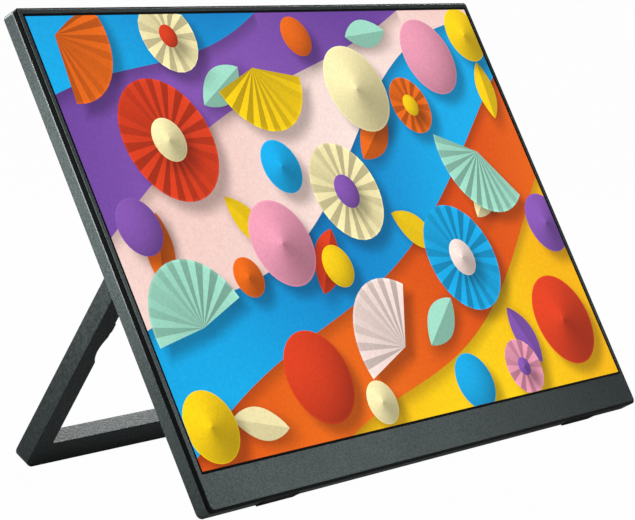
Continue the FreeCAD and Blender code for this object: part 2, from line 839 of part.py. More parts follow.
def make_stand_frame():
    y = (stand_front, stand_front + stand_thickness)
    outer = rounded_box((-stand_half_width, stand_half_width), y, (stand_tip, hinge_height))
    outer = outer.makeFillet(bar_outer_corner, depth_edges(outer, stand_tip))
    loop_bottom = stand_tip + bar_height
    loop = rounded_box((-stand_inner, stand_inner), (y[0] - overrun, y[1] + overrun),
                       (loop_bottom, hinge_height + overrun))
    loop = loop.makeFillet(bar_inner_corner, depth_edges(loop, loop_bottom))
    knuckle = rod_x((stand_inner, stand_half_width), hinge_depth, hinge_height, stand_thickness / 2)
    frame = joined(outer.cut(loop), knuckle, mirrored(knuckle))
    rim = [e for face in y for e in edges_in_plane(frame, "y", face) if not edge_at_hinge(e)]
    frame = frame.makeFillet(stand_edge, rim)
    scoop = make_scoop()
    lug = make_lug()
    frame = joined(frame, lug, mirrored(lug)).cut([scoop, mirrored(scoop)])
    seat_span = (stand_inner, stand_inner + pin_seat_depth)
    seat = rod_x(seat_span, hinge_depth, hinge_height, pin_radius + pin_seat_gap)
    return frame.cut([seat, mirrored(seat), make_stand_strip()])


def edge_at_hinge(edge):
    """True for the seam where the flat of a leg runs into its round end."""
    return all(abs(v.Point.z - hinge_height) < 1e-6 for v in edge.Vertexes)


def make_stand_strip():
    half = stand_half_width - bar_outer_corner
    low = stand_front + strip_inset
    return rounded_box((-half, half), (low, low + strip_width),
                       (stand_tip - strip_proud, stand_tip + strip_seat))


# Assembly

def both_sides(shape):
    """A piece and its mirror image as one group of two solids."""
    return Part.makeCompound([shape, mirrored(shape)])


def display_pieces():
    """Every piece that stays with the screen."""
    bracket = make_hinge_bracket()
    speaker = make_speaker()
    foot = make_foot().translated(FreeCAD.Vector(foot_offset, 0, 0))
    usb_upper, usb_lower, hdmi = [make_socket(*entry) for entry in socket_list]
    frame_seat = body_thickness - screw_recess
    return {
        "front_bezel": make_front_bezel(),
        "middle_frame": make_middle_frame(),
        "back_cover": make_back_cover(),
        "foot_left": mirrored(foot),
        "foot_right": foot,
        "lcd_panel": make_lcd_panel(),
        "diffuser_sheet": make_sheet(glass_back, diffuser_back),
        "light_guide": make_sheet(diffuser_back, guide_back),
        "reflector_sheet": make_sheet(guide_back, reflector_back),
        "led_strip": make_led_strip(),
        "backlight_tray": make_backlight_tray(),
        "panel_driver_board": make_driver_board(),
        "panel_foils": make_panel_foils(),
        "panel_cable": make_panel_cable(),
        "electronics_housing": make_housing(),
        "main_board": make_board((-board_edge, -main_board_inner), main_screw_places),
        "scaler_chip": make_scaler_chip(),
        "heat_sink": make_heat_sink(),
        "usb_c_port_upper": usb_upper,
        "usb_c_port_lower": usb_lower,
        "mini_hdmi_port": hdmi,
        "button_board": make_board((button_board_inner, board_edge), button_screw_places),
        "button_cable": make_button_cable(),
        "power_switch": make_power_switch(),
        "wheel_switch": make_wheel_switch(),
        "headphone_jack": make_headphone_jack(),
        "speaker_left": mirrored(speaker),
        "speaker_right": speaker,
        "speaker_wires": both_sides(make_speaker_wire()),
        "mount_inserts": make_inserts(),
        "hinge_bracket_left": mirrored(bracket),
        "hinge_bracket_right": bracket,
        "frame_screws": screw_group(frame_screw_places, frame_seat, band_depth + screw_tip_gap),
        "housing_screws": screw_group(housing_screw_places, body_thickness + column_floor, screw_tip),
        "hinge_screws": screw_group(hinge_screw_places, body_thickness + bracket_thickness, screw_tip),
        "board_screws": screw_group(main_screw_places + button_screw_places, board_back, body_thickness),
        "power_button": make_power_button(),
        "menu_wheel": make_menu_wheel(),
    }


def stand_pieces():
    """Every piece that swings with the stand, still folded."""
    pin = make_hinge_pin()
    return {
        "stand_frame": make_stand_frame(),
        "stand_foot_strip": make_stand_strip(),
        "hinge_pin_left": mirrored(pin),
        "hinge_pin_right": pin,
        "friction_washers": both_sides(make_friction_washer()),
        "hinge_nuts": both_sides(make_hinge_nut()),
    }


x_axis = FreeCAD.Vector(1, 0, 0)
hinge_point = FreeCAD.Vector(0, hinge_depth, hinge_height)


def opened(shape):
    """Swing a piece of the stand out to its rest angle."""
    return shape.rotated(hinge_point, x_axis, stand_open_angle)


def contact_points():
    """Upright places of the edges that meet the floor: the feet's back edge and the strip's front edge."""
    foot_edge = FreeCAD.Vector(0, foot_front + foot_depth, -foot_height)
    strip_edge = FreeCAD.Vector(0, stand_front + strip_inset, stand_tip - strip_proud)
    swing = FreeCAD.Rotation(x_axis, stand_open_angle)
    return foot_edge, hinge_point + swing.multVec(strip_edge - hinge_point)


foot_edge, strip_edge = contact_points()
lean_angle = math.degrees(math.atan2(strip_edge.z - foot_edge.z, strip_edge.y - foot_edge.y))
lean = FreeCAD.Rotation(x_axis, -lean_angle)


def leaned(shape):
    """Lean a piece back about the feet, with the floor at z = 0."""
    turned = shape.rotated(FreeCAD.Vector(0, 0, 0), x_axis, -lean_angle)
    return turned.translated(FreeCAD.Vector(0, 0, -lean.multVec(foot_edge).z))


def build():
    """All pieces by name, leaned back, with the origin under the middle of the whole object."""
    pieces = {name: leaned(shape) for name, shape in display_pieces().items()}
    pieces.update({name: leaned(opened(shape)) for name, shape in stand_pieces().items()})
    boxes = [shape.optimalBoundingBox(False, False) for shape in pieces.values()]
    middle = (min(b.YMin for b in boxes) + max(b.YMax for b in boxes)) / 2
    return {name: shape.translated(FreeCAD.Vector(0, -middle, 0)) for name, shape in pieces.items()}


def write(pieces):
    """Write one file per piece."""
    os.makedirs("parts", exist_ok=True)
    for name, shape in pieces.items():
        shape.exportStep(os.path.join("parts", name + ".step"))
        print(f"{name}: {len(shape.Solids)} solid(s), valid {shape.isValid()}, {shape.Volume / 1000:.2f} cm3")


finished = build()
write(finished)
print(f"leans back {lean_angle:.2f} degrees")
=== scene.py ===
# %% [markdown]
# # A slim portable monitor on its folding stand
# The solids of the monitor come ready made, each in its real place. This lesson gives them their finishes,
# draws a picture on the screen, and sets up the floor, the light and the camera.

# %% Load the solids
import json
import math

import bpy
import numpy as np
from mathutils import Matrix, Vector


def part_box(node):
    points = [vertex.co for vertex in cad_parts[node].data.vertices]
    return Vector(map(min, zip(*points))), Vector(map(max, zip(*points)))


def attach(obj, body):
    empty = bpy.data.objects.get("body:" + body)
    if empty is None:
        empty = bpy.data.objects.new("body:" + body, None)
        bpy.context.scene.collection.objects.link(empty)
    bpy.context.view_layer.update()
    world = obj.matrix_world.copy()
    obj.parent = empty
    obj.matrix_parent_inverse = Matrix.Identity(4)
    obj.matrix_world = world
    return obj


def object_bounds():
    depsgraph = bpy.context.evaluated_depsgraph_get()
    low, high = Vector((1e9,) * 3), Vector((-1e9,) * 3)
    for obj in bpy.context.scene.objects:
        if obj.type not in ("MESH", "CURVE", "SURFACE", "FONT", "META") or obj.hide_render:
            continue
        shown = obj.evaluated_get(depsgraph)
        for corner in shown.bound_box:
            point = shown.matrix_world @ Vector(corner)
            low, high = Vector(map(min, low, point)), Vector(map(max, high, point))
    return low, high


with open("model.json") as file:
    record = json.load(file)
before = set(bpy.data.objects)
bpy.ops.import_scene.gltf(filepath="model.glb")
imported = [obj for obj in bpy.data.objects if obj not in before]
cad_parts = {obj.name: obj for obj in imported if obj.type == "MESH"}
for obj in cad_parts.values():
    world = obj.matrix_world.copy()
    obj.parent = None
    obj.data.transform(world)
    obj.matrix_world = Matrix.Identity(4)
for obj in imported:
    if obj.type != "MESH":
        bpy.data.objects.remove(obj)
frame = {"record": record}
cad_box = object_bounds()
back = np.array(next(m["axis"] for m in frame["record"]["mounts"] if m["name"] == "arm_mount"))
across = np.array([1.0, 0.0, 0.0])
up = np.cross(across, back)

# %% [markdown]
# ## Small helpers
# Colours are written the way a paint chart gives them, as hex values. Shaders want linear light, so one
# function turns one into the other. A second function adds a shader node, sets it and links it in one go.

# %% Colour and node helpers
def linear(hex_colour):
    """Linear red, green and blue of an sRGB hex colour: the usual sRGB curve, undone channel by channel."""
    share = np.array([int(hex_colour[i:i + 2], 16) for i in (1, 3, 5)]) / 255
    return np.where(share <= 0.04045, share / 12.92, ((share + 0.055) / 1.055) ** 2.4)


def paint(hex_colour):
    """The same colour with full opacity, as a shader socket takes it."""
    return (*linear(hex_colour), 1.0)


def add(tree, kind, inputs=None, **settings):
    """Add a node, apply its settings, and fill its inputs with values or with links from other sockets."""
    node = tree.nodes.new(kind)
    for key, value in settings.items():
        setattr(node, key, value)
    for key, value in (inputs or {}).items():
        if isinstance(value, bpy.types.NodeSocket):
            tree.links.new(value, node.inputs[key])
        else:
            node.inputs[key].default_value = value
    return node


def new_material(name):
    """An empty node material and its output node."""
    material = bpy.data.materials.new(name)
    material.use_nodes = True
    material.node_tree.nodes.clear()
    return material.node_tree, add(material.node_tree, "ShaderNodeOutputMaterial"), material


millimetre = 0.001


def per_metre(size_mm):
    """Texture scale that gives features of a real size, on coordinates in metres."""
    return 1.0 / (size_mm * millimetre)


print("helpers ready")

# %% [markdown]
# ## A painted rim highlight
# Where a front rim or a top corner of the casing turns into a side, a thin paler line is painted into the
# colour. It is a painted highlight, standing in for the light that a rounded edge catches. It could be a
# strip of mesh, but a mask in the material follows the edge by itself. Each share of the mask compares two
# directions. The painted highlight fades out low down, near the chin.

# %% Mask of the painted rim highlight
# each pair says where the painted highlight starts and where it is full
edge_turn = (0.985, 0.85)
front_slope = (0.1, 0.35)
highlight_height = (0.03, 0.08)
corner_start = (0.1, 0.2)
corner_end = (0.6, 0.5)


def painted_rim_highlight(tree, place, rim_mm):
    """Painted highlight share: edge x front x height, plus the top corner between two slopes of its upward
    normal.
    """
    rounded = add(tree, "ShaderNodeBevel", {"Radius": rim_mm * millimetre}, samples=8).outputs["Normal"]
    flat = add(tree, "ShaderNodeNewGeometry").outputs["Normal"]
    comparisons = [(rounded, flat, edge_turn), (rounded, tuple(-back), front_slope),
                   (place, tuple(up), highlight_height),
                   (flat, tuple(up), corner_start), (flat, tuple(up), corner_end)]
    shares = []
    for one, other, (nothing, full) in comparisons:
        product = add(tree, "ShaderNodeVectorMath", {0: one, 1: other}, operation="DOT_PRODUCT")
        share = add(tree, "ShaderNodeMapRange", {"Value": product.outputs["Value"], "From Min": nothing,
                                                 "From Max": full})
        shares.append(share.outputs["Result"])
    edge, front, high_enough, start, end = shares
    front_and_high = add(tree, "ShaderNodeMath", {0: front, 1: high_enough}, operation="MULTIPLY")
    corner = add(tree, "ShaderNodeMath", {0: start, 1: end}, operation="MULTIPLY")
    # share of the painted highlight along the front rim and the top corner
    highlight_share = add(tree, "ShaderNodeMath", {0: edge, 1: front_and_high.outputs[0], 2: corner.outputs[0]},
                 operation="MULTIPLY_ADD", use_clamp=True)
    return highlight_share.outputs[0]


print("rim mask ready, full from", highlight_height[1], "m up the back")

# %% [markdown]
# ## Moulded grey plastic
# The casing and the stand are ABS, moulded in a tool whose walls were spark eroded. That leaves a fine, even
# grain that breaks up highlights, so the grey looks soft and a little speckled. A picture of the grain could
# be wrapped round each piece, but a noise in space needs no file and has no seams. The real grain is about
# 0.2 mm, too fine for a view of the whole monitor, so it is drawn at about 1 mm. A slow mottle of a few
# centimetres keeps large faces from looking like one flat colour.

# %% Grey ABS
mottle_mm = 35.0
mottle_share = 0.12
grain_depth = 0.6 * millimetre
roughness_spread = 0.08
abs_ior = 1.53


def moulded_plastic(name, dark, light, roughness, grain_mm, bump, specular=0.4, rim=None, rim_mm=0.0):
    """Plastic with a fine grain in its colour, roughness and relief, and a painted rim highlight if it has
    one.
    """
    tree, output, material = new_material(name)
    place = add(tree, "ShaderNodeTexCoord").outputs["Object"]
    grain = add(tree, "ShaderNodeTexNoise", {"Vector": place, "Scale": per_metre(grain_mm), "Detail": 2.0,
                                             "Roughness": 0.6}).outputs["Fac"]
    mottle = add(tree, "ShaderNodeTexNoise", {"Vector": place, "Scale": per_metre(mottle_mm), "Detail": 2.0})
    crisp = add(tree, "ShaderNodeMapRange", {"Value": grain, "From Min": 0.34, "From Max": 0.66})
    blotch = add(tree, "ShaderNodeMapRange", {"Value": mottle.outputs["Fac"], "From Min": 0.3,
                                              "From Max": 0.7, "To Min": -mottle_share,
                                              "To Max": mottle_share})
    speckle = add(tree, "ShaderNodeMath", {0: crisp.outputs["Result"], 1: blotch.outputs["Result"]},
                  operation="ADD", use_clamp=True)
    colour = add(tree, "ShaderNodeMix", {"Factor": speckle.outputs[0], "A": paint(dark), "B": paint(light)},
                 data_type="RGBA")
    # the rim colour mixed in here is a painted highlight on the front rim and top corner
    if rim:
        highlight_share = painted_rim_highlight(tree, place, rim_mm)
        colour = add(tree, "ShaderNodeMix", {"Factor": highlight_share, "A": colour.outputs["Result"],
                                             "B": paint(rim)}, data_type="RGBA")
    rough = add(tree, "ShaderNodeMapRange", {"Value": grain, "From Min": 0.3, "From Max": 0.7,
                                             "To Min": roughness - roughness_spread,
                                             "To Max": roughness + roughness_spread})
    relief = add(tree, "ShaderNodeBump", {"Height": grain, "Strength": bump, "Distance": grain_depth})
    shader = add(tree, "ShaderNodeBsdfPrincipled", {"Base Color": colour.outputs["Result"],
                                                    "Roughness": rough.outputs["Result"],
                                                    "Normal": relief.outputs["Normal"],
                                                    "Specular IOR Level": specular, "IOR": abs_ior})
    tree.links.new(shader.outputs["BSDF"], output.inputs["Surface"])
    return material


casing = {"dark": "#474e4e", "light": "#5b6463", "roughness": 0.54, "grain_mm": 0.8, "bump": 0.1}
# the back cover's pale rim colour is a painted highlight along its front rim and top corners
cover_abs = moulded_plastic("grey_abs_spark_eroded_polished_rim", **casing, specular=0.03, rim="#a8b1af",
                            rim_mm=2.0)
housing_abs = moulded_plastic("grey_abs_spark_eroded", **casing, specular=0.1)
bezel_abs = moulded_plastic("grey_abs_fine_grain", "#434a4a", "#596161", roughness=0.54, grain_mm=0.9,
                            bump=0.12, specular=0.03)
stand_abs = moulded_plastic("dark_abs_spark_eroded", "#2c3131", "#434a4a", roughness=0.58, grain_mm=1.2,
                            bump=0.4, specular=0.08)
print("made", cover_abs.name, housing_abs.name, bezel_abs.name, stand_abs.name)

# %% [markdown]
# ## Black plastic and rubber
# The middle frame is the same kind of plastic in satin black, with a finer grain. The controls are a shade
# lighter so that a finger finds them. The feet are soft moulded rubber, dull and nearly black. All come out
# of a mould, so the same function makes them, and only colour, grain and gloss differ.

# %% Black ABS, control plastic and rubber
black_abs = moulded_plastic("black_abs_satin", "#030404", "#080a0a", roughness=0.5, grain_mm=0.6, bump=0.12,
                            specular=0.035)
control_abs = moulded_plastic("dark_abs_controls", "#1c2021", "#2c3233", roughness=0.45, grain_mm=0.6,
                              bump=0.15)
foot_rubber = moulded_plastic("moulded_rubber", "#080909", "#121313", roughness=0.78, grain_mm=0.9, bump=0.3,
                              specular=0.1)
print("made", black_abs.name, control_abs.name, foot_rubber.name)

# %% [markdown]
# ## Screen glass
# The front of the panel is a polariser film with an anti-glare haze. Round the picture it is black, because
# ink behind it hides the edge of the light guide. Clear glass over a black layer would look the same, since
# no light comes back through the ink, so one black surface is enough. A faint grain in the roughness gives
# the haze.

# %% Anti-glare glass
panel_black = "#060708"
haze_mm = 0.7


def anti_glare_glass():
    """Black glass with a hazy surface."""
    tree, output, material = new_material("anti_glare_polariser")
    place = add(tree, "ShaderNodeTexCoord").outputs["Object"]
    haze = add(tree, "ShaderNodeTexNoise", {"Vector": place, "Scale": per_metre(haze_mm), "Detail": 2.0})
    rough = add(tree, "ShaderNodeMapRange", {"Value": haze.outputs["Fac"], "To Min": 0.28, "To Max": 0.42})
    shader = add(tree, "ShaderNodeBsdfPrincipled", {"Base Color": paint(panel_black),
                                                    "Roughness": rough.outputs["Result"],
                                                    "Specular IOR Level": 0.02, "IOR": 1.5})
    tree.links.new(shader.outputs["BSDF"], output.inputs["Surface"])
    return material


panel_glass = anti_glare_glass()
print("made", panel_glass.name)

# %% [markdown]
# ## Metals
# Turned, rolled and plated metal all show fine lines along the way they were worked. A shader with stretched
# highlights would hint at them, but the lines themselves would be missing. So one function stretches a noise
# along a direction and uses it for colour and roughness, and highlights smear the same way.

# %% Steel, aluminium and brass
line_mm = 0.5


def worked_metal(name, dark, light, roughness, stretch):
    """Metal with fine working lines: a noise whose scale differs from axis to axis."""
    tree, output, material = new_material(name)
    place = add(tree, "ShaderNodeTexCoord").outputs["Object"]
    turned = add(tree, "ShaderNodeMapping", {"Vector": place, "Scale": stretch})
    lines = add(tree, "ShaderNodeTexNoise", {"Vector": turned.outputs["Vector"], "Scale": per_metre(line_mm),
                                             "Detail": 3.0})
    colour = add(tree, "ShaderNodeMix", {"Factor": lines.outputs["Fac"], "A": paint(dark),
                                         "B": paint(light)}, data_type="RGBA")
    rough = add(tree, "ShaderNodeMapRange", {"Value": lines.outputs["Fac"], "To Min": roughness - 0.1,
                                             "To Max": roughness + 0.12})
    shader = add(tree, "ShaderNodeBsdfPrincipled", {"Base Color": colour.outputs["Result"], "Metallic": 1.0,
                                                    "Roughness": rough.outputs["Result"]})
    tree.links.new(shader.outputs["BSDF"], output.inputs["Surface"])
    return material


along_x = (0.05, 1.0, 1.0)
all_ways = (1.0, 1.0, 1.0)
hinge_steel = worked_metal("machined_steel", "#8c8e90", "#b4b6b8", 0.34, along_x)
screw_steel = worked_metal("blackened_steel", "#17181a", "#2c2e30", 0.45, all_ways)
socket_steel = worked_metal("nickel_plated_steel", "#a8a8a4", "#cccac4", 0.28, along_x)
pressed_aluminium = worked_metal("pressed_aluminium", "#b0b2b4", "#d0d2d4", 0.36, along_x)
turned_brass = worked_metal("turned_brass", "#9a7430", "#c9a04e", 0.32, all_ways)
print("made five metals")

# %% [markdown]
# ## Inside the casing
# Circuit boards are glass fibre under a green solder mask, with a network of copper that shows as lighter
# lines. Flat cables are amber polyimide film. The light guide is clear acrylic, the film behind it is a
# white diffuse reflector, and chips, switches, speakers and the headphone jack are black moulding compound.
# Hardly any of this shows while the casing is closed, so plain patterns do.

# %% Boards, films and components
track_mm = 8.0


def solder_mask():
    """Green lacquer over copper: square tracks show as a lighter green."""
    tree, output, material = new_material("solder_mask_on_glass_fibre")
    place = add(tree, "ShaderNodeTexCoord").outputs["Object"]
    tracks = add(tree, "ShaderNodeTexBrick", {"Vector": place, "Scale": per_metre(track_mm),
                                              "Mortar Size": 0.04, "Color1": paint("#0d4a28"),
                                              "Color2": paint("#0f5430"), "Mortar": paint("#2c7c4a")})
    relief = add(tree, "ShaderNodeBump", {"Height": tracks.outputs["Fac"], "Strength": 0.2,
                                          "Distance": 0.1 * millimetre})
    shader = add(tree, "ShaderNodeBsdfPrincipled", {"Base Color": tracks.outputs["Color"], "Roughness": 0.3,
                                                    "Normal": relief.outputs["Normal"], "IOR": 1.5})
    tree.links.new(shader.outputs["BSDF"], output.inputs["Surface"])
    return material


green_board = solder_mask()
amber_film = moulded_plastic("polyimide_film", "#8a5210", "#b87a20", roughness=0.4, grain_mm=1.5, bump=0.05)
clear_acrylic = moulded_plastic("acrylic_sheet", "#dfe6ea", "#f2f6f8", roughness=0.15, grain_mm=2.0,
                                bump=0.02)
white_film = moulded_plastic("white_reflector_film", "#e4e4e2", "#f6f6f4", roughness=0.55, grain_mm=1.0,
                             bump=0.05)
black_compound = moulded_plastic("moulding_compound", "#0e0f10", "#1c1d1e", roughness=0.6, grain_mm=0.5,
                                 bump=0.2)
wire_skin = moulded_plastic("vinyl_insulation", "#151515", "#242424", roughness=0.5, grain_mm=0.8, bump=0.1)
print("made six inner finishes")

# %% [markdown]
# ## Hand out the finishes
# Every solid keeps its mesh and only changes its material.

# %% Dress the solids
finishes = {
    cover_abs: ["back_cover"],
    housing_abs: ["electronics_housing"],
    bezel_abs: ["front_bezel"],
    stand_abs: ["stand_frame"],
    black_abs: ["middle_frame"],
    control_abs: ["power_button", "menu_wheel"],
    foot_rubber: ["foot_left", "foot_right", "stand_foot_strip"],
    panel_glass: ["lcd_panel"],
    hinge_steel: ["hinge_bracket_left", "hinge_bracket_right", "hinge_pin_left", "hinge_pin_right",
                  "friction_washers", "hinge_nuts"],
    screw_steel: ["frame_screws", "housing_screws", "hinge_screws", "board_screws"],
    socket_steel: ["usb_c_port_upper", "usb_c_port_lower", "mini_hdmi_port"],
    pressed_aluminium: ["backlight_tray", "heat_sink"],
    turned_brass: ["mount_inserts"],
    green_board: ["panel_driver_board", "main_board", "button_board", "led_strip"],
    amber_film: ["panel_foils", "panel_cable", "button_cable"],
    clear_acrylic: ["light_guide", "diffuser_sheet"],
    white_film: ["reflector_sheet"],
    black_compound: ["scaler_chip", "power_switch", "wheel_switch", "headphone_jack", "speaker_left",
                     "speaker_right"],
    wire_skin: ["speaker_wires"],
}
for material, node_names in finishes.items():
    for node_name in node_names:
        node_object = bpy.data.objects[node_name]
        node_object.data.materials.clear()
        node_object.data.materials.append(material)
print("dressed", sum(len(names) for names in finishes.values()), "solids")

# %% [markdown]
# ## Where the picture lies
# The screen leans back, so the picture needs its own directions: across, up the glass, and out of it. The
# back of the housing is parallel to the glass, and the record gives its direction, so nothing is guessed.
# The picture area stands forward of the rest of the glass by a small step.

# %% Directions of the glass
glass_thickness = 1.2 * millimetre
glass_ledge = 4.0 * millimetre
glass_step = 0.75 * millimetre
picture_width = 344.6
picture_height = 215.4

glass_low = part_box("lcd_panel")[0]
front_foot = np.array([0.0, glass_low[1], glass_low[2] - back[2] * glass_thickness])


def on_glass(u, v, lift):
    """Points on the screen: u across and v up from the picture's lower left corner, lifted off, all in mm."""
    u, v, lift = np.broadcast_arrays(u, v, lift)
    flat = (front_foot
            + across * ((u - picture_width / 2) * millimetre)[..., None]
            + up * (v * millimetre + glass_ledge)[..., None])
    return flat - back * (lift * millimetre + glass_step)[..., None]


print("glass leans back", round(math.degrees(math.asin(-back[2])), 2), "degrees")

# %% [markdown]
# ## A picture of cut and folded paper
# The screen shows bright craft paper: waves of plain sheets with leaves, pleated rosettes, fans, cones and
# domes on them. It could be one painted image, but shapes worked out by formulas stay sharp at any size and
# need no file. Each shape is a grid of points with a colour at every point. The shapes lie in four layers, as
# real paper would: waves, leaves, large shapes, and small shapes on top. Folds are lit from the upper left,
# and soft shadows fall to the lower right.

# %% Papers and shapes
sky, orange, yellow, blush = "#0fb0ee", "#f06c10", "#ffd40a", "#fde6de"
violet, mint, red, pink, cream = "#8a58b6", "#a4e2cb", "#e2401a", "#f29fb8", "#fdf0b6"
deep_sky, deep_orange, deep_yellow = "#0880c6", "#dc4c0a", "#f8b204"
deep_blush, deep_violet = "#f6cfc6", "#6b429c"

# base, length, half width, direction in degrees, paper
leaves = [
    ((96.0, 168.0), 40.0, 9.0, 28.0, mint), ((34.0, 118.0), 38.0, 9.0, 250.0, orange),
    ((84.0, 122.0), 34.0, 8.0, 305.0, yellow), ((152.0, 100.0), 40.0, 9.0, 232.0, red),
    ((200.0, 134.0), 40.0, 9.0, 35.0, orange), ((204.0, 104.0), 36.0, 9.0, 325.0, yellow),
    ((276.0, 96.0), 34.0, 8.0, 40.0, cream), ((224.0, 56.0), 38.0, 9.0, 215.0, mint),
    ((268.0, 46.0), 34.0, 9.0, 290.0, violet), ((262.0, 204.0), 36.0, 8.0, 185.0, mint),
    ((330.0, 150.0), 34.0, 8.0, 82.0, yellow), ((66.0, 10.0), 36.0, 8.0, 165.0, cream),
]

# kind, centre, radius, start angle and sweep in degrees, number of folds or sectors, paper
shapes = [
    ("rosette", (62.0, 152.0), 31.0, 0.0, 360.0, 20, red),
    ("fan", (142.0, 186.0), 34.0, 200.0, 150.0, 9, yellow),
    ("cone", (218.0, 172.0), 24.0, 0.0, 360.0, 60, cream),
    ("fan", (36.0, 62.0), 33.0, 20.0, 170.0, 10, mint),
    ("cone", (112.0, 96.0), 22.0, 0.0, 360.0, 60, pink),
    ("rosette", (176.0, 118.0), 26.0, 9.0, 360.0, 16, cream),
    ("dome", (100.0, 30.0), 23.0, 0.0, 360.0, 60, red),
    ("fan", (172.0, 36.0), 36.0, 60.0, 140.0, 9, blush),
    ("rosette", (248.0, 76.0), 29.0, 4.0, 360.0, 18, sky),
    ("cone", (314.0, 34.0), 25.0, 0.0, 360.0, 60, red),
    ("fan", (300.0, 132.0), 35.0, 160.0, 150.0, 10, mint),
    ("dome", (292.0, 188.0), 22.0, 0.0, 360.0, 60, pink),
    ("fan", (14.0, 206.0), 34.0, 265.0, 125.0, 8, orange),
    ("cone", (336.0, 88.0), 17.0, 0.0, 360.0, 48, violet),
    ("dome", (216.0, 12.0), 15.0, 0.0, 360.0, 48, sky),
    ("rosette", (90.0, 204.0), 19.0, 5.0, 360.0, 12, cream),
    ("cone", (16.0, 18.0), 17.0, 0.0, 360.0, 48, yellow),
    ("dome", (20.0, 112.0), 14.0, 0.0, 360.0, 48, violet),
    ("rosette", (258.0, 161.0), 16.0, 0.0, 360.0, 12, orange),
    ("cone", (134.0, 134.0), 14.0, 0.0, 360.0, 48, sky),
    ("dome", (146.0, 81.0), 11.0, 0.0, 360.0, 48, yellow),
    ("rosette", (262.0, 14.0), 15.0, 8.0, 360.0, 10, pink),
    ("cone", (334.0, 200.0), 16.0, 0.0, 360.0, 48, yellow),
    ("cone", (79.0, 82.0), 10.0, 0.0, 360.0, 48, orange),
    ("dome", (186.0, 202.0), 11.0, 0.0, 360.0, 48, orange),
    ("cone", (138.0, 12.0), 11.0, 0.0, 360.0, 48, cream),
]
tops = [
    ("cone", (62.0, 152.0), 11.0, 0.0, 360.0, 48, cream),
    ("dome", (176.0, 118.0), 9.0, 0.0, 360.0, 48, violet),
    ("cone", (248.0, 76.0), 10.0, 0.0, 360.0, 48, blush),
    ("dome", (90.0, 204.0), 6.0, 0.0, 360.0, 48, red),
    ("dome", (258.0, 161.0), 6.0, 0.0, 360.0, 48, yellow),
    ("cone", (262.0, 14.0), 5.0, 0.0, 360.0, 48, violet),
]
print(len(leaves), "leaves,", len(shapes), "large shapes and", len(tops), "small ones planned")

# %% [markdown]
# A point is in shadow when it lies under a shape once that shape is moved along the way the light goes. The
# depth of a point inside the outline, in millimetres, gives a soft edge to each shadow.

# %% Shadows
light_from = np.array([-0.75, 0.66])
shadow_shift = np.array([4.5, -6.0])
shadow_blur = 9.0
shadow_share = 0.5
layer = 0.05
wave_lift, leaf_lift, shape_lift, top_lift = (layer * number for number in (1, 2, 3, 4))


def soft_step(value):
    """Smooth rise from 0 to 1 as the value goes from 0 to 1."""
    t = np.clip(value, 0.0, 1.0)
    return t * t * (3.0 - 2.0 * t)


def heading(degrees):
    """Unit direction at an angle from the picture's lower edge."""
    return np.array([math.cos(math.radians(degrees)), math.sin(math.radians(degrees))])


def depth_in_shape(away, radius, start, sweep):
    """Depth inside a disc, radius less distance; a sector is also bounded by the arc to its nearer side."""
    distance = np.linalg.norm(away, axis=-1)
    turn = np.arctan2(away[..., 1], away[..., 0]) - math.radians(start + sweep / 2)
    off = np.abs((turn + math.pi) % (2 * math.pi) - math.pi)
    to_side = distance * (math.radians(sweep / 2) - off)
    return radius - distance if sweep == 360.0 else np.minimum(radius - distance, to_side)


def depth_in_leaf(away, length, half_width, direction):
    """Depth inside an ellipse as long and wide as the leaf, taken from its middle line."""
    along, over = heading(direction), heading(direction + 90.0)
    a = (away @ along - length / 2) / (length / 2)
    b = (away @ over) / half_width
    return half_width * (1.0 - np.hypot(a, b))


def light_left(flat, shapes_above, leaves_above=()):
    """Light left at flat points: each shape above takes a share, softly, and low leaves shift less."""
    depths = [depth_in_shape(flat - np.array(shape[1]) - shadow_shift, *shape[2:5]) for shape in shapes_above]
    depths += [depth_in_leaf(flat - np.array(leaf[0]) - shadow_shift / 2, *leaf[1:4])
               for leaf in leaves_above]
    left = np.ones(flat.shape[:-1])
    for depth in depths:
        left = left * (1.0 - shadow_share * soft_step(depth / shadow_blur + 0.5))
    return left


def quad_faces(count, rows, columns):
    """Corner numbers of the cells of equal grids of points that follow each other in one list."""
    first = np.arange(rows - 1)[:, None] * columns + np.arange(columns - 1)
    cell = np.stack([first, first + 1, first + columns + 1, first + columns], axis=-1).reshape(-1, 4)
    return (np.arange(count)[:, None, None] * rows * columns + cell).reshape(-1, 4)


def patch(flat, colour, lift, count):
    """Points, colours and cells of a shape; what sticks out of the picture is pressed back to its edge."""
    u = np.clip(flat[..., 0], 0.0, picture_width)
    v = np.clip(flat[..., 1], 0.0, picture_height)
    points = on_glass(u, v, lift)
    cells = quad_faces(count, *flat.shape[-3:-1])
    return points.reshape(-1, 3), np.clip(colour, 0.0, 1.0).reshape(-1, 3), cells


patches = []
print("shadows fall", tuple(shadow_shift), "mm")

# %% [markdown]
# The waves are strips between two curves that run across the whole picture. The curves rise to the right,
# so the sheets sweep up in a diagonal. Each sheet goes slowly from a light to a deep tone of its colour.

# %% Waves of plain paper
columns = 170
rows = 40
u_line = np.linspace(0.0, picture_width, columns)

# height at the left edge, rise per mm, swing, stretch and phase of the swing
wave_lines = [(-70.0, 0.52, 16.0, 52.0, 0.0), (-6.0, 0.50, 13.0, 60.0, 1.2), (52.0, 0.46, 15.0, 47.0, 2.1),
              (104.0, 0.44, 12.0, 66.0, 0.4), (164.0, 0.40, 14.0, 50.0, 1.9)]
curves = [np.zeros(columns)]
curves += [start + rise * u_line + swing * np.sin(u_line / stretch + phase)
           for start, rise, swing, stretch, phase in wave_lines]
curves += [np.full(columns, picture_height)]
sheets = [(yellow, deep_yellow), (orange, deep_orange), (sky, deep_sky), (blush, deep_blush),
          (violet, deep_violet), (sky, deep_sky)]
edge_shadow = 0.38
edge_shadow_width = 10.0
tone_swing = 0.4
tone_stretch = 46.0
tone_rise = 0.25
tone_phase = 2.2


